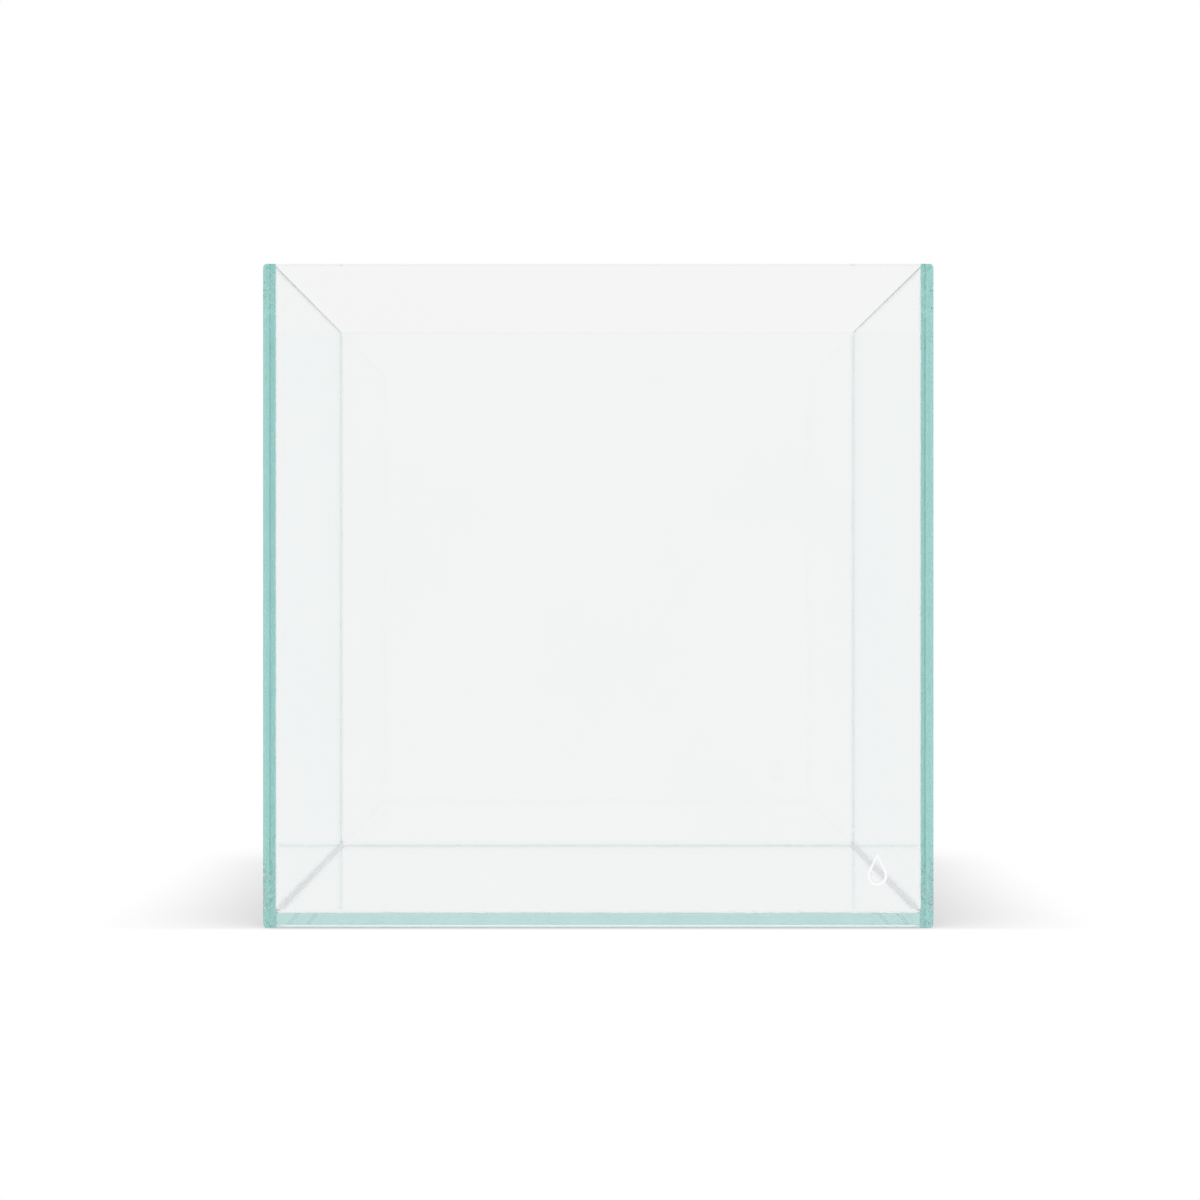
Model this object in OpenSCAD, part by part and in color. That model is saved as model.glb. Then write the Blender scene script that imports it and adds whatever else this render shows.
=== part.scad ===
// Rimless glass aquarium: five panes, glued edge to face with clear silicone, and sealed inside.
// Units are millimetres. +X is the width, +Y runs from the front pane to the back pane, +Z is up.
// The origin is the middle of the underside.

/* [Tank] */
// Outside width, left to right
tank_w = 450; // [200:5:900]
// Outside depth, front to back
tank_d = 450; // [200:5:600]
// Outside height, underside to rim
tank_h = 445; // [200:5:600]
// Thickness of the float glass, the same for all five panes
glass_t = 8; // [6:1:12]
// Height of the bottom pane's underside above the surface that the walls stand on
floor_raise = 1; // [1:0.5:6]

/* [Glass edges] */
// Polished bevel up the outer edges of the front and back panes, at 45 degrees
corner_bevel = 2.4; // [0.5:0.1:3]
// Polished bevel along the rim and the foot of the four walls, measured down the face
rim_bevel = 0.8; // [0.3:0.1:1]
// How far the rim's bevel cuts into the thickness
rim_bevel_depth = 0.5; // [0.3:0.1:1]
// Fine bevel ground on the edges that are glued, at 45 degrees
glued_bevel = 0.3; // [0.2:0.1:1]
// Radius of the eased outer corners of the front and back panes
corner_r = 3; // [1:0.5:6]

/* [Silicone] */
// Thickness of the glue line between an edge and the face that it is glued to
bond_t = 0.8; // [0.4:0.1:2]
// How far in from the side pane's outer face the upright glue lines are trimmed
bond_recess = 0.2; // [0.1:0.1:1]
// Width of the sealing bead along the floor, measured on each pane
floor_seal_leg = 2.5; // [1.5:0.1:8]
// Width of the sealing bead up each inside corner, measured on each pane
corner_seal_leg = 1.9; // [1:0.1:8]
// How far below the rim the silicone stops
seal_drop = 3; // [3:0.5:10]

/* [Printed mark] */
// Height of the water-drop mark printed on the front pane
mark_h = 22; // [10:1:40]
// Width of the mark's printed line
mark_line = 1.8; // [1:0.1:2.5]
// Distance of the mark's middle from the tank's right side
mark_from_side = 38; // [30:1:80]
// Height of the mark's middle above the underside
mark_z = 39; // [30:1:100]
// Thickness of the fired ink
ink_t = 0.1; // [0.05:0.05:0.3]

/* [Hidden] */
$fn = 64;

// Clear space between the walls
inside_w = tank_w - 2 * glass_t;
inside_d = tank_d - 2 * glass_t;
// The panes that fit between the others stop one glue line short at each end
side_pane_len = inside_d - 2 * bond_t;
floor_pane_w = inside_w - 2 * bond_t;
floor_pane_d = inside_d - 2 * bond_t;
// Top face of the bottom pane, which is the floor inside the tank
floor_z = floor_raise + glass_t;
silicone_top = tank_h - seal_drop;
// The bead's hollow is an arc whose centre stands this many legs out from both panes
hollow_reach = 1.35;
// Longer than any cut that runs right through
through = 2 * max(tank_w, tank_d, tank_h);
// The drop's round end, and the glint inside it
drop_r = mark_h * 0.31;
glint_r = drop_r * 0.42;

GLASS = [0.72, 0.88, 0.86, 0.35];
SILICONE = [0.88, 0.92, 0.92, 0.6];
INK = [0.96, 0.97, 0.97];

// ---- Shapes that repeat ----

// A rectangle about the origin with its corners cut off. The cuts are [along w, along h]: low_cut
// at the two corners of the low side, and high_cut at the other two.
module bevelled_rect(w, h, low_cut, high_cut) {
    x = w / 2;
    y = h / 2;
    polygon([
        [-x + low_cut[0], -y], [x - low_cut[0], -y], [x, -y + low_cut[1]], [x, y - high_cut[1]],
        [x - high_cut[0], y], [-x + high_cut[0], y], [-x, y - high_cut[1]], [-x, -y + low_cut[1]],
    ]);
}

// A rectangle about the origin with true round corners
module rounded_rect(w, h, r) {
    square([w - 2 * r, h], center = true);
    square([w, h - 2 * r], center = true);
    for (sx = [-1, 1], sz = [-1, 1])
        translate([sx * (w / 2 - r), sz * (h / 2 - r)]) circle(r = r);
}

// A wall about the origin: w along X, glass_t along Y with its outside at -Y, and tank_h along Z.
// outer and inner are the 45 degree bevels up its two ends, on its outside and on its inside.
module wall(w, outer, inner) {
    rim = [rim_bevel_depth, rim_bevel];
    intersection() {
        linear_extrude(height = tank_h, center = true)
            bevelled_rect(w, glass_t, [outer, outer], [inner, inner]);
        rotate([90, 0, 90]) linear_extrude(height = w, center = true)
            bevelled_rect(glass_t, tank_h, rim, rim);
    }
}

// Front or back pane. Its ends are exposed, and the side panes are glued to its inside.
module face_pane() {
    intersection() {
        wall(tank_w, corner_bevel, glued_bevel);
        rotate([90, 0, 0]) linear_extrude(height = 2 * glass_t, center = true)
            rounded_rect(tank_w, tank_h, corner_r);
    }
}

// Left or right pane, which runs front to back between the face panes
module side_pane() {
    wall(side_pane_len, glued_bevel, glued_bevel);
}

// Angle that turns something made for the front wall to the wall on side [sx, sy]
function turn_to(side) = side[1] < 0 ? 0 : side[1] > 0 ? 180 : side[0] > 0 ? 90 : 270;

// Moves a pane modelled about the origin to the wall on one side, with its outside out
module at_wall(side) {
    translate([
        side[0] * (tank_w - glass_t) / 2,
        side[1] * (tank_d - glass_t) / 2,
        tank_h / 2,
    ]) rotate([0, 0, turn_to(side)]) children();
}

// Bottom pane, with its four edges ground and none of them exposed
module floor_slab() {
    cut = [glued_bevel, glued_bevel];
    translate([0, 0, floor_raise + glass_t / 2]) intersection() {
        rotate([90, 0, 0]) linear_extrude(height = floor_pane_d, center = true)
            bevelled_rect(floor_pane_w, glass_t, cut, cut);
        rotate([90, 0, 90]) linear_extrude(height = floor_pane_w, center = true)
            bevelled_rect(floor_pane_d, glass_t, cut, cut);
    }
}

// One upright glue line. It fills the gap between a face pane and the side pane's end, and the
// grooves that their bevels leave, and it is trimmed a little short of the outside.
module corner_bond(sx, sy) {
    width = glass_t - bond_recess;
    depth = bond_t + 2 * glued_bevel;
    color(SILICONE) difference() {
        translate([
            sx * (inside_w + width) / 2,
            sy * (inside_d - bond_t) / 2,
            (floor_raise + silicone_top) / 2,
        ]) cube([width, depth, silicone_top - floor_raise], center = true);
        at_wall([sx, 0]) side_pane();
        at_wall([0, sy]) wall(tank_w, corner_bevel, glued_bevel);
    }
}

// Plan of one wall's share of the floor, cut at 45 degrees where it meets the next wall's.
// The share belongs to the front wall and is turned to the others.
module wall_share(length, other_length) {
    linear_extrude(height = through, center = true)
        polygon([
            [-length / 2, -other_length / 2],
            [length / 2, -other_length / 2],
            [length / 2 - other_length / 4, -other_length / 4],
            [-length / 2 + other_length / 4, -other_length / 4],
        ]);
}

// Clear length of the wall on side [sx, sy], and the clear distance from it to the wall opposite
function wall_length(side) = side[0] == 0 ? inside_w : inside_d;
function wall_apart(side) = side[0] == 0 ? inside_d : inside_w;

module share_of(side) {
    rotate([0, 0, turn_to(side)]) wall_share(wall_length(side), wall_apart(side));
}

// One glue line under the edge of the bottom pane, with the grooves of its bevels
module floor_bond(side) {
    color(SILICONE) intersection() {
        difference() {
            translate([-inside_w / 2, -inside_d / 2, floor_raise])
                cube([inside_w, inside_d, glass_t]);
            floor_slab();
        }
        share_of(side);
    }
}

// Section of a sealing bead: a right angle whose third side is hollowed to an arc.
// backing carries it on behind the wall and under the floor, for cutting with.
module bead_section(leg, backing = 0) {
    centre = hollow_reach * leg;
    difference() {
        translate([-backing, -backing]) square(centre + backing);
        translate([centre, centre]) circle(r = norm([centre, centre - leg]), $fn = 128);
    }
}

// A straight length in the angle between the floor and one wall, with the section given
module along_wall(side, length) {
    rotate([0, 0, turn_to(side)]) translate([0, -wall_apart(side) / 2, floor_z])
        rotate([90, 0, 90]) linear_extrude(height = length, center = true) children();
}

// One sealing bead along the floor, mitred into its neighbours
module floor_seal(side) {
    color(SILICONE) intersection() {
        along_wall(side, wall_length(side)) bead_section(floor_seal_leg);
        share_of(side);
    }
}

// One sealing bead up an inside corner, cut to sit on the floor's beads
module corner_seal(sx, sy) {
    turn = sx < 0 ? (sy < 0 ? 0 : 270) : (sy < 0 ? 90 : 180);
    color(SILICONE) difference() {
        translate([sx * inside_w / 2, sy * inside_d / 2, floor_z]) rotate([0, 0, turn])
            linear_extrude(height = silicone_top - floor_z) bead_section(corner_seal_leg);
        for (side = [[sx, 0], [0, sy]])
            along_wall(side, through) bead_section(floor_seal_leg, 1);
    }
}

// Outline of a water drop with its tip up, its round end of radius r and h high in all.
// The arc runs round the bottom from one tangent point to the other, and the tip closes it.
module drop(r, h) {
    tip = h - r;
    touch = acos(r / tip);
    steps = 32;
    arc = [for (i = [0 : steps])
        let (a = touch + (360 - 2 * touch) * i / steps) [r * sin(a), r * cos(a)]];
    polygon(concat([[0, tip]], arc));
}

// A quarter of a ring, low on the left, like the glint in a drop
module glint(r, line) {
    intersection() {
        difference() {
            circle(r = r + line / 2);
            circle(r = r - line / 2);
        }
        translate([-2 * r, -2 * r]) square(2 * r);
    }
}

// ---- One module for each piece ----

module front_pane() { color(GLASS) at_wall([0, -1]) face_pane(); }
module back_pane() { color(GLASS) at_wall([0, 1]) face_pane(); }
module left_pane() { color(GLASS) at_wall([-1, 0]) side_pane(); }
module right_pane() { color(GLASS) at_wall([1, 0]) side_pane(); }
module bottom_pane() { color(GLASS) floor_slab(); }

module front_left_bond() { corner_bond(-1, -1); }
module front_right_bond() { corner_bond(1, -1); }
module back_left_bond() { corner_bond(-1, 1); }
module back_right_bond() { corner_bond(1, 1); }

module front_floor_bond() { floor_bond([0, -1]); }
module back_floor_bond() { floor_bond([0, 1]); }
module left_floor_bond() { floor_bond([-1, 0]); }
module right_floor_bond() { floor_bond([1, 0]); }

module front_left_seal() { corner_seal(-1, -1); }
module front_right_seal() { corner_seal(1, -1); }
module back_left_seal() { corner_seal(-1, 1); }
module back_right_seal() { corner_seal(1, 1); }

module front_floor_seal() { floor_seal([0, -1]); }
module back_floor_seal() { floor_seal([0, 1]); }
module left_floor_seal() { floor_seal([-1, 0]); }
module right_floor_seal() { floor_seal([1, 0]); }

// A plain water drop with a glint in it, printed on the outside of the front pane
module printed_mark() {
    color(INK)
        translate([tank_w / 2 - mark_from_side, -tank_d / 2, mark_z - mark_h / 2 + drop_r])
            rotate([90, 0, 0]) linear_extrude(height = ink_t) {
                difference() {
                    drop(drop_r, mark_h);
                    drop(drop_r - mark_line, mark_h - 2.6 * mark_line);
                }
                glint(glint_r, mark_line * 0.7);
            }
}

front_pane();
back_pane();
left_pane();
right_pane();
bottom_pane();
front_left_bond();
front_right_bond();
back_left_bond();
back_right_bond();
front_floor_bond();
back_floor_bond();
left_floor_bond();
right_floor_bond();
front_left_seal();
front_right_seal();
back_left_seal();
back_right_seal();
front_floor_seal();
back_floor_seal();
left_floor_seal();
right_floor_seal();
printed_mark();
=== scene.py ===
# %% [markdown]
# # A rimless glass aquarium
#
# The real tank is five panes of float glass. The front and back panes run the full width, the two
# side panes fit between them, and the bottom pane sits inside all four. Clear silicone glues every
# edge to a face, and a second bead is drawn along each inside corner with a fingertip or a tool.
#
# The measured solids come in as a frame. The panes are already the right shape, so they stay and
# only get a finish. The printed mark is copied, with its back sunk into the glass. The silicone
# is remade here, because real beads wander a little and glue lines hold small trapped bubbles.

# %% Load the frame
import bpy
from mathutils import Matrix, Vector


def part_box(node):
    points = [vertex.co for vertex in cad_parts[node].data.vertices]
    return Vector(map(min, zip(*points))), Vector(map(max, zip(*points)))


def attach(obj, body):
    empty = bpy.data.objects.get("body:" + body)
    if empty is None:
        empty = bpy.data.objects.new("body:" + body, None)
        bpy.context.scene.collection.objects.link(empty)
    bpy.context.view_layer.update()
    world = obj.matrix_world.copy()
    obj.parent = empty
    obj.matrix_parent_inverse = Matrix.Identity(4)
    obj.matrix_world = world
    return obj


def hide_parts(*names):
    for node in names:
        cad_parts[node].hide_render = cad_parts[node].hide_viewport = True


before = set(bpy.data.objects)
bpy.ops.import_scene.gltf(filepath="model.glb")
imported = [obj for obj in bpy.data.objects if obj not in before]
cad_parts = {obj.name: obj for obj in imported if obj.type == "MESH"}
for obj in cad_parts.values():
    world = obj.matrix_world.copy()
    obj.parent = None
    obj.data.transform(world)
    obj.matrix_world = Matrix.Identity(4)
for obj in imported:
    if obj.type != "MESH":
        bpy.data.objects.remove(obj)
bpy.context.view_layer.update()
print("nodes in the frame:", len(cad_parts))

# %% [markdown]
# ## Sizes
#
# The silicone's sizes are read back from the boxes of the measured solids, so that it fits the
# frame. Two things are stated instead: the bevel on the glued edges, which a box doesn't show, and
# where the trapped bubbles are. All lengths are in metres.

# %% Sizes
import math

import bpy
import numpy as np
from mathutils import Vector
from mathutils.geometry import tessellate_polygon

MM = 0.001
face_low, face_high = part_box("front_pane")
slab_low, slab_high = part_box("bottom_pane")
bond_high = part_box("front_right_bond")[1]
corner_low, corner_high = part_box("front_right_seal")

GLASS = face_high.y - face_low.y            # thickness of a pane
HALF = face_high.x                          # middle of the tank to its outside
HEIGHT = face_high.z
INSIDE = HALF - GLASS                       # middle of the tank to a wall's inner face
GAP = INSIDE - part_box("right_pane")[1].y    # thickness of a glue line
FOOT, FLOOR = slab_low.z, slab_high.z       # underside and top of the bottom pane
TOP = bond_high.z                           # where the silicone stops, under the rim
RECESS = HALF - bond_high.x                 # glue line trimmed short of the outside
FLOOR_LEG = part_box("front_floor_seal")[1].z - FLOOR
CORNER_LEG = corner_high.x - corner_low.x
GROUND_BEVEL = 0.3 * MM                     # on the edges that are glued, at 45 degrees

print(f"outside {2000 * HALF:.0f} mm, glass {1000 * GLASS:.1f} mm, glue line {1000 * GAP:.1f} mm")
print(f"beads {1000 * FLOOR_LEG:.1f} mm on the floor, {1000 * CORNER_LEG:.1f} mm up the corners")

# %% [markdown]
# ## How light crosses a glued joint
#
# Silicone wets the glass, so light passes from one to the other with no air between. If two
# surfaces share one plane, a renderer can't tell which it meets first, and the joint goes black.
# So each silicone surface is carried a few hundredths of a millimetre into the glass: a ray then
# enters the next material just before it leaves the last one, and bends as it really would.

# %% How far silicone is carried into its neighbours
INTO_GLASS = 0.02 * MM     # glue lines
BEAD_INTO_GLASS = 0.03 * MM  # beads, a little more, so that they reach into the glue lines too
print(f"silicone overlaps the glass by {1000 * INTO_GLASS:.2f} mm")

# %% [markdown]
# ## Two kinds of surface
#
# Every silicone piece is one section carried along a straight corner. That is a grid: one
# parameter runs round the section and the other runs along the corner, and the two ends are
# capped. A trapped bubble is a ball, often pressed flat, which is a grid of latitude and longitude
# with its two poles closed. Both are worked out as whole arrays and then joined into one mesh.

# %% Surfaces as grids
CREASE = math.radians(30)   # a fold sharper than this stays a crisp edge


def outward(points, triangles):
    """Turns faces away from the origin: a . (b x c) then adds up to more than zero."""
    a, b, c = points[triangles].transpose(1, 0, 2)
    volume = np.einsum("ij,ij->", a, np.cross(b, c))
    return triangles if volume > 0 else triangles[:, ::-1]


def quads_to_triangles(low, low_next, high, high_next):
    """Splits each cell of a grid along its diagonal."""
    return np.r_[
        np.c_[low.ravel(), low_next.ravel(), high_next.ravel()],
        np.c_[low.ravel(), high_next.ravel(), high.ravel()],
    ]


def swept(points, hub=None):
    """A closed section carried along a path. points[i, j] is section point i at station j.

    The sides are the grid of (i, j), joined round in i. Each end is closed by its own section, as
    a fan from section point hub where one is given.
    """
    rounds, stations, _ = points.shape
    index = np.arange(rounds * stations).reshape(rounds, stations)
    around = np.roll(index, -1, axis=0)
    sides = quads_to_triangles(index[:, :-1], around[:, :-1], index[:, 1:], around[:, 1:])
    if hub is None:
        cap = np.array(tessellate_polygon([[Vector(p) for p in points[:, 0].tolist()]]))
    else:
        rim = (hub + np.arange(1, rounds)) % rounds
        cap = np.c_[np.full(rounds - 2, hub), rim[:-1], rim[1:]]
    flat = points.reshape(-1, 3)
    first, last = points[:, 0].mean(axis=0), points[:, -1].mean(axis=0)
    # An end faces out where its area vectors add up to point away from the other end
    caps = []
    for j, away in ((0, first - last), (-1, last - first)):
        end = index[:, j][cap]
        a, b, c = flat[end].transpose(1, 0, 2)
        facing = np.cross(b - a, c - a).sum(axis=0) @ away
        caps.append(end if facing > 0 else end[:, ::-1])
    # The sides face out where normal . radius adds up to more than zero
    a, b, c = (flat[sides] - first).transpose(1, 0, 2)
    normal = np.cross(b - a, c - a)
    step = last - first
    radius = (a + b + c) / 3
    radius = radius - np.outer(radius @ step, step) / (step @ step)
    sides = sides if np.einsum("ij,ij->", normal, radius) > 0 else sides[:, ::-1]
    return flat, np.r_[sides, *caps]


def bubbles(centres, radii, rows=10, columns=20):
    """Balls of radii (a, b, c), each the shell of a cavity, so their faces point in to the air.

    p = centre + (a sin t cos u, b sin t sin u, c cos t), with t from pole to pole and u round.
    """
    t = np.linspace(0, np.pi, rows + 2)[1:-1, None]
    u = np.linspace(0, 2 * np.pi, columns, endpoint=False)[None, :]
    ball = np.stack([np.sin(t) * np.cos(u), np.sin(t) * np.sin(u), np.cos(t) + 0 * u], axis=-1)
    ball = np.r_[ball.reshape(-1, 3), [[0, 0, 1], [0, 0, -1]]]
    index = np.arange(rows * columns).reshape(rows, columns)
    around = np.roll(index, -1, axis=1)
    body = quads_to_triangles(index[:-1], around[:-1], index[1:], around[1:])
    north = np.c_[np.full(columns, rows * columns), index[0], around[0]]
    south = np.c_[np.full(columns, rows * columns + 1), around[-1], index[-1]]
    triangles = np.concatenate([outward(ball, part) for part in (body, north, south)])
    points = (centres[:, None] + radii[:, None] * ball[None]).reshape(-1, 3)
    shift = len(ball) * np.arange(len(centres))[:, None, None]
    return points, (triangles[None, :, ::-1] + shift).reshape(-1, 3)


def make_piece(node, material, shells):
    """Joins the shells into one mesh, which stands for one node of the frame and rides with it."""
    starts = np.cumsum([0] + [len(points) for points, _ in shells])
    points = np.concatenate([points for points, _ in shells])
    triangles = np.concatenate([faces + start for (_, faces), start in zip(shells, starts)])
    mesh = bpy.data.meshes.new(node + "_silicone")
    mesh.from_pydata(points.tolist(), [], triangles.tolist())
    mesh.polygons.foreach_set("use_smooth", np.ones(len(triangles), dtype=bool))
    mesh.set_sharp_from_angle(angle=CREASE)
    mesh.materials.append(material)
    piece = bpy.data.objects.new(node + "_silicone", mesh)
    bpy.context.scene.collection.objects.link(piece)
    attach(piece, "root")
    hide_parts(node)
    return piece


ball_points, ball_triangles = bubbles(np.zeros((1, 3)), np.ones((1, 3)))
print("one bubble:", len(ball_points), "points,", len(ball_triangles), "triangles")

# %% [markdown]
# ## Colours and nodes
#
# Colours are written as the hex values a painter's chart gives, and turned to the linear values
# that light adds up in. A shader is a tree of nodes, so one small function adds any node with its
# settings and its links, and four more stand for the nodes that come up again and again.

# %% Colours and nodes
def linear(hex_code):
    """An sRGB hex colour as linear red, green, blue and alpha."""
    c = np.array([int(hex_code[i : i + 2], 16) for i in (1, 3, 5)]) / 255
    c = np.where(c <= 0.04045, c / 12.92, ((c + 0.055) / 1.055) ** 2.4)
    return (*c.tolist(), 1.0)


def add(tree, kind, sockets={}, **settings):
    """Adds one node. Each socket is given a value, or another node's output to be linked to."""
    node = tree.nodes.new("ShaderNode" + kind)
    for name, value in settings.items():
        setattr(node, name, value)
    for name, value in sockets.items():
        if isinstance(value, bpy.types.NodeSocket):
            tree.links.new(value, node.inputs[name])
        else:
            node.inputs[name].default_value = value
    return node


def noise(tree, place, scale, detail):
    """Soft noise between 0 and 1, with about scale lumps to the metre."""
    return add(tree, "TexNoise", {"Vector": place, "Scale": scale, "Detail": detail}).outputs["Fac"]


def arithmetic(tree, operation, *values):
    """One step of arithmetic on one value or two."""
    return add(tree, "Math", dict(enumerate(values)), operation=operation).outputs[0]


def remap(tree, value, low, high, start=0.0, stop=1.0):
    """Stretches start to stop onto low to high. What lies beyond them gives low or high."""
    ranges = {"From Min": start, "From Max": stop, "To Min": low, "To Max": high}
    return add(tree, "MapRange", {"Value": value, **ranges}).outputs["Result"]


def blend(tree, factor, a, b):
    """The colour a at a factor of 0, and b at 1."""
    colours = {"Factor": factor, "A": a, "B": b}
    return add(tree, "Mix", colours, data_type="RGBA").outputs["Result"]


def new_material(name):
    """An empty material and its node tree."""
    material = bpy.data.materials.new(name)
    material.use_nodes = True
    material.node_tree.nodes.clear()
    return material, material.node_tree


print("the pale green of the glass in linear light:", [round(v, 3) for v in linear("#82E2DC")[:3]])

# %% [markdown]
# ## Low-iron float glass
#
# Float glass is poured onto molten tin, so its faces are as smooth as a liquid, with only a very
# long, very shallow ripple. Even low-iron glass holds a trace of iron, which takes a little red out
# of the light. Through 8 mm that can't be seen, but along the 450 mm from one edge of a pane to the
# other it adds up to the blue-green of the edges. So the colour is an absorption inside the glass,
# and the surface is left clear. The edges are cut, ground to a bevel and polished, which leaves the
# bevels a touch less smooth than the faces. A mask picks them out by their slanting normals.

# %% Low-iron float glass
ALONG_AXIS = 0.99   # a unit normal whose largest part is above this faces along an axis


def off_axis(tree, most):
    """0 where a surface faces along an axis, 1 where its normal's largest part is under most."""
    axes = add(tree, "SeparateXYZ", {0: add(tree, "NewGeometry").outputs["Normal"]})
    x, y, z = (arithmetic(tree, "ABSOLUTE", part) for part in axes.outputs)
    largest = arithmetic(tree, "MAXIMUM", arithmetic(tree, "MAXIMUM", x, y), z)
    return remap(tree, largest, 0.0, 1.0, start=ALONG_AXIS, stop=most)


def float_glass(name, density):
    """density is how strongly the iron in it absorbs, per metre."""
    material, tree = new_material(name)
    place = add(tree, "TexCoord").outputs["Object"]
    # Ripple from the float bath: waves about 70 mm long and a few millionths of a metre high
    ripple = noise(tree, place, 14.0, 1.0)
    bump = add(tree, "Bump", {"Height": ripple, "Strength": 1.0, "Distance": 4e-6})
    # The polishing wheel's marks on the bevels, a few tenths of a millimetre across
    marks = remap(tree, noise(tree, place, 1500.0, 2.0), 0.0, 0.03)
    rough = arithmetic(tree, "MULTIPLY", off_axis(tree, 0.90), marks)
    # The faint bloom left on any wiped pane, in patches a hand wide
    bloom = noise(tree, place, 9.0, 3.0)
    tint = blend(tree, bloom, linear("#FFFFFF"), linear("#FCFEFE"))
    surface = add(
        tree,
        "BsdfPrincipled",
        {
            "Base Color": tint,
            "Roughness": rough,
            "IOR": 1.52,
            "Transmission Weight": 1.0,
            "Normal": bump.outputs[0],
        },
    )
    body = add(tree, "VolumeAbsorption", {"Color": linear("#82E2DC"), "Density": density})
    add(tree, "OutputMaterial", {"Surface": surface.outputs[0], "Volume": body.outputs[0]})
    return material


wall_glass = float_glass("low_iron_float_glass_polished_edges", 2.85)
# The bottom pane's glass absorbs less: its paler edge is painted light, for light getting in through
# its underside
base_glass_paled_for_light_from_below = float_glass("low_iron_float_glass_paled_for_light_from_below", 1.5)
print("glass nodes:", len(wall_glass.node_tree.nodes))

# %% [markdown]
# ## Clear silicone, pressed and tooled
#
# The same clear silicone is used twice. In a glue line it is pressed flat between two panes, so it
# is as smooth and as clear as the glass. In a bead its open side was drawn with a tool, which
# leaves a faint skin. Cured silicone is also a little milky. That hardly shows across a bead, but
# the two beads at the sides of the floor run away from the eye, and a glance along one goes
# through a lot of it: most of what comes back was scattered under the skin. They have a milkier
# silicone of their own for that.

# %% Clear silicone
def clear_silicone(name, clear, low_rough, high_rough, ripple_height, pale, deep):
    """clear is the share of the light that passes straight through, and the rest is scattered.

    low_rough to high_rough is the skin's roughness, and ripple_height the depth of its tooling.
    Both are only on the skin open to the air, which slants. What lies on glass is as smooth as it.
    pale and deep are the two tints that its milkiness drifts between.
    """
    material, tree = new_material(name)
    place = add(tree, "TexCoord").outputs["Object"]
    skin = off_axis(tree, 0.97)
    # Tooling ripple about 5 mm long, with finer streaks of roughness on it
    ripple = arithmetic(tree, "MULTIPLY", noise(tree, place, 200.0, 3.0), skin)
    bump = add(tree, "Bump", {"Height": ripple, "Strength": 1.0, "Distance": ripple_height})
    streaks = remap(tree, noise(tree, place, 420.0, 2.0), low_rough, high_rough)
    rough = arithmetic(tree, "MULTIPLY", streaks, skin)
    tint = blend(tree, noise(tree, place, 60.0, 2.0), linear(pale), linear(deep))
    surface = add(
        tree,
        "BsdfPrincipled",
        {
            "Base Color": tint,
            "Roughness": rough,
            "IOR": 1.41,
            "Transmission Weight": clear,
            "Normal": bump.outputs[0],
        },
    )
    add(tree, "OutputMaterial", {"Surface": surface.outputs[0]})
    return material


bond_silicone = clear_silicone(
    "clear_silicone_pressed_glue_line", 1.0, 0.0, 0.0, 0.0, "#FFFFFF", "#F3F6F6"
)
bead_silicone = clear_silicone(
    "clear_silicone_tooled_bead", 1.0, 0.0, 0.03, 5e-6, "#FFFFFF", "#FCFDFD"
)
side_bead_silicone = clear_silicone(
    "milky_silicone_tooled_bead", 0.25, 0.22, 0.36, 2e-5, "#F9F8FC", "#F0EFF5"
)
print("silicones:", bond_silicone.name, bead_silicone.name, side_bead_silicone.name)

# %% [markdown]
# ## White ink, fired onto the glass
#
# The mark is a ceramic ink, screen printed on the outside of the front pane and fired until it
# melts on. It is a thin, even white with a soft gloss and the weave of the screen in it.

# %% Fired ink
def fired_ink():
    """White, with the screen's weave in its colour, its gloss and its height."""
    material, tree = new_material("ceramic_ink_screen_printed_and_fired")
    place = add(tree, "TexCoord").outputs["Object"]
    # Screen threads about 0.25 mm apart
    weave = noise(tree, place, 4000.0, 1.0)
    bump = add(tree, "Bump", {"Height": weave, "Strength": 0.4, "Distance": 5e-6})
    white = blend(tree, weave, linear("#FDFDFD"), linear("#F4F5F5"))
    rough = remap(tree, weave, 0.32, 0.48)
    surface = add(
        tree,
        "BsdfPrincipled",
        {
            "Base Color": white,
            "Roughness": rough,
            "IOR": 1.5,
            "Normal": bump.outputs[0],
        },
    )
    add(tree, "OutputMaterial", {"Surface": surface.outputs[0]})
    return material


ink = fired_ink()
print("ink nodes:", len(ink.node_tree.nodes))

# %% [markdown]
# ## Finish the panes and the mark
#
# The panes came in with the right shape, so each only has its material changed. The mark lies on
# the front pane, and two surfaces in one plane would leave it black from behind. So it is copied,
# and the copy's back is sunk into the glass, as fired ink really is.

# %% Finish the panes and the mark
FINISHES = {
    "front_pane": wall_glass,
    "back_pane": wall_glass,
    "left_pane": wall_glass,
    "right_pane": wall_glass,
    "bottom_pane": base_glass_paled_for_light_from_below,
}
for node, material in FINISHES.items():
    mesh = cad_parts[node].data
    mesh.materials.clear()
    mesh.materials.append(material)
    print(node, "->", material.name)


def sink_mark():
    """The measured mark, with y + INTO_GLASS in place of y for each point that lies on the pane."""
    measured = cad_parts["printed_mark"]
    mesh = measured.data.copy()
    mesh.transform(measured.matrix_world)
    points = np.empty(3 * len(mesh.vertices))
    mesh.vertices.foreach_get("co", points)
    points = points.reshape(-1, 3)
    points[points[:, 1] > face_low.y - INTO_GLASS, 1] = face_low.y + INTO_GLASS
    mesh.vertices.foreach_set("co", points.ravel())
    mesh.materials.clear()
    mesh.materials.append(ink)
    mark = bpy.data.objects.new("printed_mark_ink", mesh)
    bpy.context.scene.collection.objects.link(mark)
    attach(mark, "root")
    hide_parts("printed_mark")
    return mark


print(sink_mark().name, "sunk into the front pane")

# %% [markdown]
# ## A hand's wander
#
# No bead is drawn perfectly straight. Its width swells and thins by a few hundredths over lengths
# from a thumb's width to a hand's. A few sine waves of different lengths, each starting at its own
# place, add up to such a line and give the same one every time.

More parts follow.
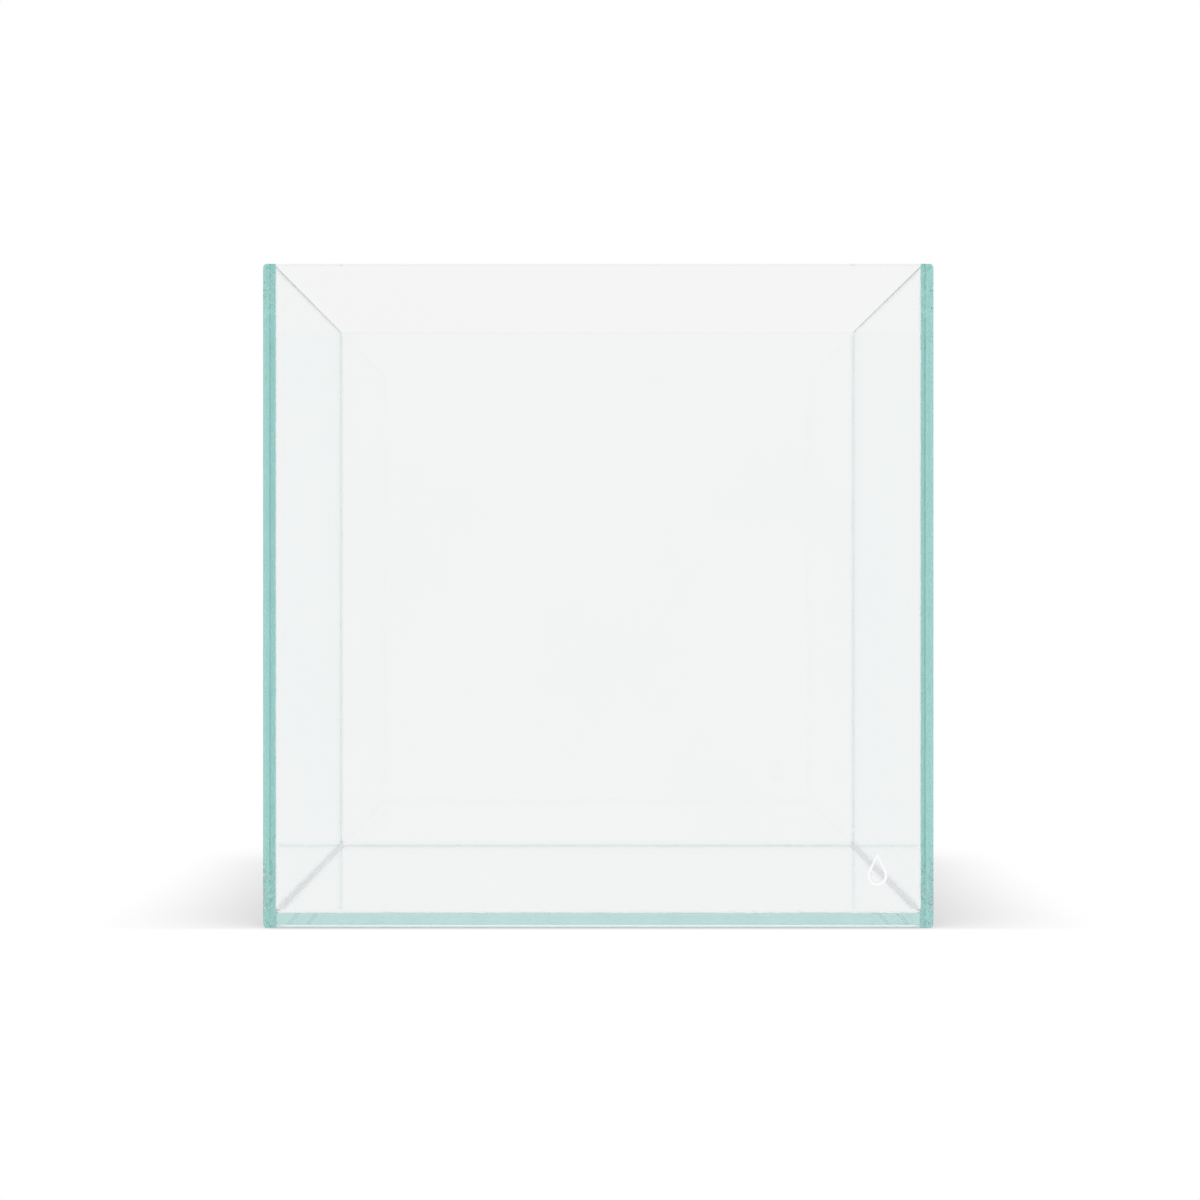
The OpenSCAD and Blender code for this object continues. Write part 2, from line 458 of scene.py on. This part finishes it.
# %% A hand's wander
WAVES = np.array([90.0, 47.0, 23.0, 11.0]) * MM
WANDER = 0.03                                # height of the longest wave, as a share of the size
STRENGTHS = WANDER * np.sqrt(WAVES / WAVES[0])
draws = np.random.RandomState(4)


def wander(s):
    """1 plus the sum of strength sin(2 pi s / wave + start), over the waves."""
    starts = draws.uniform(0, 2 * np.pi, len(WAVES))
    phase = 2 * np.pi * s[..., None] / WAVES + starts
    return 1 + (STRENGTHS * np.sin(phase)).sum(axis=-1)


sample = wander(np.linspace(0, 2 * INSIDE, 200))
print(f"a bead's width varies from {sample.min():.3f} to {sample.max():.3f} of its size")

# %% [markdown]
# ## Upright glue lines
#
# Each of these fills the gap between a face pane and a side pane's end, and the grooves that the
# bevels leave. Its section is worked out once, in two distances: u in from the side pane's outer
# face, and v from the face pane towards the middle of the tank. Then it is carried up the corner.
# The two front ones trap a row of small bubbles near the foot and the rim, where the glue is
# pressed last, and the two back ones a few anywhere.

# %% Upright glue lines
SKIN_HOLLOW = 0.15 * MM                      # how far the glue's outer skin sags in
FOOT_ROW = np.arange(7, 38, 6.3) * MM        # heights of the bubbles near the foot
RIM_ROW = np.arange(404, 440, 6.1) * MM      # and near the rim
ROW_WANDER = 1 * MM                          # how far each is from its place in the row
BACK_BUBBLES = 7
BACK_MARGIN = 5 * MM                         # kept clear at the two ends
BUBBLE_PLACE = (3.9, 5.3)                    # in from the side pane's outer face, in mm
BUBBLE_WIDE, BUBBLE_TALL = (0.4, 0.75), (0.5, 1.1)   # half its width and half its height, in mm
BUBBLE_DEEP = 0.3                            # half its depth in mm, pressed flat by the panes


def upright_section():
    """Out along the face pane, over the hollow skin, and back in along the side pane's end."""
    e = INTO_GLASS
    slope = math.sqrt(2) * e
    return np.array([
        (GLASS, -e),
        (GROUND_BEVEL, -e),
        (RECESS, RECESS - GROUND_BEVEL - slope),
        (RECESS + SKIN_HOLLOW, GAP / 2),
        (RECESS, GAP + GROUND_BEVEL - RECESS + slope),
        (GROUND_BEVEL, GAP + e),
        (GLASS - GROUND_BEVEL, GAP + e),
        (GLASS, GAP + GROUND_BEVEL + e),
    ])


def upright_glue(side, end, bubble_heights):
    """Takes (u, v) to x = side (HALF - u) and y = end (INSIDE - v), with z from foot to top."""
    u, v = upright_section().T[:, :, None]
    z = np.array([[FOOT, TOP]])
    solid = np.stack(np.broadcast_arrays(side * (HALF - u), end * (INSIDE - v), z), axis=-1)
    n = len(bubble_heights)
    across = side * (HALF - draws.uniform(*BUBBLE_PLACE, n) * MM)
    depth = np.full(n, end * (INSIDE - GAP / 2))
    wide, tall = draws.uniform(*BUBBLE_WIDE, n), draws.uniform(*BUBBLE_TALL, n)
    radii = np.c_[wide, np.full(n, BUBBLE_DEEP), tall] * MM
    return [swept(solid), bubbles(np.c_[across, depth, bubble_heights], radii)]


for side, left_or_right in ((-1, "left"), (1, "right")):
    for end, front_or_back in ((-1, "front"), (1, "back")):
        if front_or_back == "front":
            heights = np.r_[FOOT_ROW, RIM_ROW]
            heights = heights + draws.uniform(-1, 1, len(heights)) * ROW_WANDER
        else:
            heights = draws.uniform(FOOT + BACK_MARGIN, TOP - BACK_MARGIN, BACK_BUBBLES)
        name = f"{front_or_back}_{left_or_right}_bond"
        piece = make_piece(name, bond_silicone, upright_glue(side, end, heights))
        print(piece.name, len(piece.data.polygons), "triangles")

# %% [markdown]
# ## Along the floor
#
# The glue lines and beads round the bottom pane all share one way of being placed: a distance a in
# from the wall, a height z, and a distance s along the wall. The four meet in mitres, so s runs
# between the two 45 degree lines.

# %% Placing a section along a wall
WALLS = {"front": (0, -1), "back": (0, 1), "left": (-1, 0), "right": (1, 0)}


def beside_wall(wall, a, z, s):
    """The point a in from the wall, z up and s along: n (INSIDE - a) + (n turned a quarter) s."""
    nx, ny = WALLS[wall]
    out = INSIDE - a
    return np.stack(np.broadcast_arrays(nx * out - ny * s, ny * out + nx * s, z), axis=-1)


print("front wall's middle:", beside_wall("front", 0.0, FLOOR, 0.0).round(4).tolist())

# %% [markdown]
# ## Glue lines round the bottom pane
#
# The bottom pane's bevels leave a groove above and below its edge, and the glue fills both. The
# front glue line has small round bubbles near its two ends, and the others a few anywhere.

# %% Glue lines round the bottom pane
LEFT_ROW = np.array([-205, -199.5, -193, -187]) * MM   # places of the front bubbles, along x
RIGHT_ROW = np.array([176, 182.5, 188, 193, 198, 203.5, 209]) * MM
ROW_DEPTH = (2.0, 3.0)                       # how far they are under the floor, in mm
ROUND_BUBBLE = (0.24, 0.37)                  # radius, in mm
OTHER_BUBBLES = 5
OTHER_REACH = 0.9                            # of the way from the middle to each end
OTHER_MARGIN = 2 * MM                        # kept clear above and below


def floor_glue(wall, bubble_places, bubble_heights):
    """Section point (a, z), carried along s from one mitre to the other."""
    e = INTO_GLASS
    a, z = np.array([
        (-e, FOOT),
        (GAP + GROUND_BEVEL + e, FOOT),
        (GAP + e, FOOT + GROUND_BEVEL),
        (GAP + e, FLOOR - GROUND_BEVEL),
        (GAP + GROUND_BEVEL + e, FLOOR),
        (-e, FLOOR),
    ]).T[:, :, None]
    s = np.array([[-1, 1]]) * (INSIDE - a + e)
    centres = beside_wall(wall, GAP / 2, bubble_heights, bubble_places)
    radii = draws.uniform(*ROUND_BUBBLE, (len(bubble_places), 1)) * MM * np.ones(3)
    return [swept(beside_wall(wall, a, z, s)), bubbles(centres, radii)]


for wall in WALLS:
    if wall == "front":
        places = np.r_[LEFT_ROW, RIGHT_ROW]
        heights = FLOOR - draws.uniform(*ROW_DEPTH, len(places)) * MM
    else:
        places = draws.uniform(-OTHER_REACH, OTHER_REACH, OTHER_BUBBLES) * INSIDE
        heights = draws.uniform(FOOT + OTHER_MARGIN, FLOOR - OTHER_MARGIN, OTHER_BUBBLES)
    shells = floor_glue(wall, places, heights)
    piece = make_piece(f"{wall}_floor_bond", bond_silicone, shells)
    print(piece.name, len(piece.data.polygons), "triangles")

# %% [markdown]
# ## The tooled beads
#
# A bead's open side is hollow, because a round tool shaped it. The hollow is an arc of a circle
# whose centre stands off both panes, and it meets each pane at a thin edge. The section is that arc
# closed by the corner behind it. Its size follows the wander along the corner, but the part that
# reaches into the glass does not.

# %% A bead's section
CENTRE_OUT = 1.35   # the arc's centre stands this many legs from both panes
ARC_POINTS = 12
CORNER_POINT = ARC_POINTS + 1   # the section point in the corner itself, which sees all the others
STATIONS = 160


def hollow_circle(leg):
    """Distance of the arc's centre from each pane, and its radius."""
    centre = CENTRE_OUT * leg
    return centre, math.hypot(centre, centre - leg)


def bead_section(leg):
    """The arc's points and then the corner behind it; and 1 for a point on the arc, 0 for others."""
    centre, radius = hollow_circle(leg)
    first = math.atan2(-centre, leg - centre) % (2 * math.pi)
    last = math.atan2(leg - centre, -centre) % (2 * math.pi)
    angle = np.linspace(first, last, ARC_POINTS)
    arc = centre + radius * np.c_[np.cos(angle), np.sin(angle)]
    e = BEAD_INTO_GLASS
    behind = [(-e, leg), (-e, -e), (leg, -e)]
    return np.r_[arc, behind], np.r_[np.ones(ARC_POINTS), np.zeros(len(behind))]


section, on_arc = bead_section(FLOOR_LEG)
hollow = FLOOR_LEG / math.sqrt(2) - np.hypot(*section[ARC_POINTS // 2])
print(f"the floor bead is hollowed by {1000 * hollow:.2f} mm")

# %% Beads along the floor
a, rise = section.T[:, :, None]
for wall in WALLS:
    s = np.linspace(-1, 1, STATIONS)[None, :] * (INSIDE - a + INTO_GLASS)
    size = 1 + (wander(s) - 1) * on_arc[:, None]
    points = beside_wall(wall, a * size, FLOOR + rise * size, s)
    shell = swept(points, CORNER_POINT)
    silicone = side_bead_silicone if wall in ("left", "right") else bead_silicone
    piece = make_piece(f"{wall}_floor_seal", silicone, [shell])
    print(piece.name, len(piece.data.polygons), "triangles")

# %% [markdown]
# The beads up the corners are thinner. Each starts on the hollow of the floor beads, so its foot is
# cut to their shape: at a distance d from the nearer wall, the floor bead's arc stands at a height
# of centre - sqrt(radius^2 - (centre - d)^2).

# %% Beads up the corners
FOOT_OVERLAP = 0.15 * MM   # how far a foot reaches into the floor beads


def floor_bead_height(d):
    """Height of the floor bead's hollow at a distance d from its wall."""
    centre, radius = hollow_circle(FLOOR_LEG)
    return centre - np.sqrt(radius**2 - (centre - np.clip(d, 0, None)) ** 2)


section, on_arc = bead_section(CORNER_LEG)
a, b = section.T[:, :, None]
start = FLOOR + floor_bead_height(np.minimum(a, b)) - FOOT_OVERLAP
z = start + (TOP - start) * np.linspace(0, 1, STATIONS)[None, :]
for side, left_or_right in ((-1, "left"), (1, "right")):
    for end, front_or_back in ((-1, "front"), (1, "back")):
        size = 1 + (wander(z) - 1) * on_arc[:, None]
        points = np.stack(
            np.broadcast_arrays(side * (INSIDE - a * size), end * (INSIDE - b * size), z), axis=-1
        )
        name = f"{front_or_back}_{left_or_right}_seal"
        shell = swept(points, CORNER_POINT)
        piece = make_piece(name, bead_silicone, [shell])
        print(piece.name, len(piece.data.polygons), "triangles")

# %% [markdown]
# ## White paper to stand it on
#
# Glass has hardly any colour of its own: it shows what is around it. A high-key set is the usual
# answer. The tank stands on seamless white paper under light from everywhere, so the only dark
# things are its own edges. The paper and the room are a shade under white, as the tank sees them,
# and burn out to clean white where the camera looks straight at them. A soft contact shade beside
# the tank and a thin darker shadow along its front foot are painted into the paper where the camera
# sees it, and stand it on the paper.

# %% White paper
ROOM = linear("#F9F6F6")      # what the glass sees
SHADE_REACH = 0.12            # metres that the contact shade spreads
SHADE_DEPTH = 0.60
FOOT_SHADOW_REACH = 0.006            # metres that the painted foot shadow in front of the tank spreads
# how dark the painted foot shadow gets
FOOT_SHADOW_TONE = 0.15
HALF_COVERED = 0.5            # how open the paper is beside the foot, where the painted foot shadow is darkest
OPEN = 0.95                   # and where the painted foot shadow ends
FRONT_FADE = 10 * MM          # in front of the tank, where the painted shade gives way to the foot shadow
PAPER_HALF = 40.0
PAPER_GAP = 0.2 * MM          # glass only touches paper here and there, so light stays in the glass


def white_paper():
    """Paper that glows evenly for the glass; for the camera, white with a painted contact shade and
    foot shadow.
    """
    material, tree = new_material("seamless_white_paper")
    # Painted shade: the paper is darkened where the tank stands near it, widely beside it and
    # tightly along its foot
    covered = add(tree, "AmbientOcclusion", {"Distance": SHADE_REACH}, samples=16)
    shade = remap(tree, covered.outputs["AO"], 1 - SHADE_DEPTH, 1.0)
    touching = add(tree, "AmbientOcclusion", {"Distance": FOOT_SHADOW_REACH}, samples=16)
    line = remap(tree, touching.outputs["AO"], FOOT_SHADOW_TONE, 1.0, start=HALF_COVERED, stop=OPEN)
    # In front of the tank a mask by position cuts the painted shade away, leaving only the painted
    # foot shadow
    where = add(tree, "SeparateXYZ", {0: add(tree, "TexCoord").outputs["Object"]})
    behind_front = remap(tree, where.outputs["Y"], 0.0, 1.0, start=-HALF - FRONT_FADE, stop=-HALF)
    white = blend(tree, behind_front, line, shade)
    seen = add(tree, "LightPath").outputs["Is Camera Ray"]
    tone = blend(tree, seen, ROOM, white)
    glow = add(tree, "Emission", {"Color": tone})
    add(tree, "OutputMaterial", {"Surface": glow.outputs[0]})
    return material


paper_mesh = bpy.data.meshes.new("paper")
corners = PAPER_HALF * np.array([(-1, -1, 0), (1, -1, 0), (1, 1, 0), (-1, 1, 0)])
corners[:, 2] = -PAPER_GAP
paper_mesh.from_pydata(corners.tolist(), [], [(0, 1, 2, 3)])
paper_mesh.materials.append(white_paper())
paper = bpy.data.objects.new("paper", paper_mesh)
bpy.context.scene.collection.objects.link(paper)
print("paper laid")

# %% [markdown]
# ## Light
#
# The room is the main light. A large softbox, high in front and to the left, only brightens the
# printed ink; it is kept out of the glass's reflections, as a photographer would place it.

# %% Light
PURE_WHITE = linear("#FFFFFF")    # the room, as the camera sees it
SOFTBOX_PLACE = Vector((-0.9, -2.0, 1.5))
world = bpy.data.worlds.new("white_room")
world.use_nodes = True
tree = world.node_tree
tree.nodes.clear()
seen = add(tree, "LightPath").outputs["Is Camera Ray"]
glow = add(tree, "Background", {"Color": blend(tree, seen, ROOM, PURE_WHITE)})
add(tree, "OutputWorld", {"Surface": glow.outputs[0]})
bpy.context.scene.world = world

softbox_light = bpy.data.lights.new("softbox", "AREA")
softbox_light.size = 1.4
softbox_light.energy = 9.0
softbox = bpy.data.objects.new("softbox", softbox_light)
softbox.location = SOFTBOX_PLACE
aim = Vector((0, 0, HEIGHT / 2)) - SOFTBOX_PLACE
softbox.rotation_euler = aim.to_track_quat("-Z", "Y").to_euler()
softbox.visible_glossy = False
softbox.visible_transmission = False
bpy.context.scene.collection.objects.link(softbox)
print("softbox", softbox_light.energy, "W")

# %% [markdown]
# ## How far light is followed
#
# A ray along a pane's edge is reflected inside it dozens of times before it gets out, and that is
# what makes the edges glow, so many bounces are allowed. Reflections seen by way of another surface
# are kept sharp, because blurring them would make the clear panes cast shadows.

# %% How far light is followed
BOUNCES = 200
scene = bpy.context.scene
scene.view_settings.view_transform = "Standard"
scene.cycles.max_bounces = BOUNCES
scene.cycles.transmission_bounces = BOUNCES
scene.cycles.glossy_bounces = BOUNCES
scene.cycles.transparent_max_bounces = 24
scene.cycles.blur_glossy = 0.0
scene.cycles.use_denoising = True
print("bounces:", scene.cycles.max_bounces)

# %% [markdown]
# ## Camera
#
# The tank is seen straight on from a little over one and a half metres, with the lens level and
# just above the middle of the glass.

# %% Camera
DISTANCE = 1.642              # from the lens to the front pane
LENS_ASIDE = -3.5 * MM        # from the middle of the tank
LENS_HEIGHT = 229 * MM
camera_lens = bpy.data.cameras.new("camera")
camera_lens.sensor_width = 36
camera_lens.lens = 73.5
camera_lens.shift_x = 0.0058
camera_lens.shift_y = -0.0117
camera_lens.clip_end = 200
camera = bpy.data.objects.new("camera", camera_lens)
camera.location = (LENS_ASIDE, -HALF - DISTANCE, LENS_HEIGHT)
camera.rotation_euler = (math.pi / 2, 0, 0)
scene.collection.objects.link(camera)
scene.camera = camera
print("camera at", [round(v, 3) for v in camera.location])
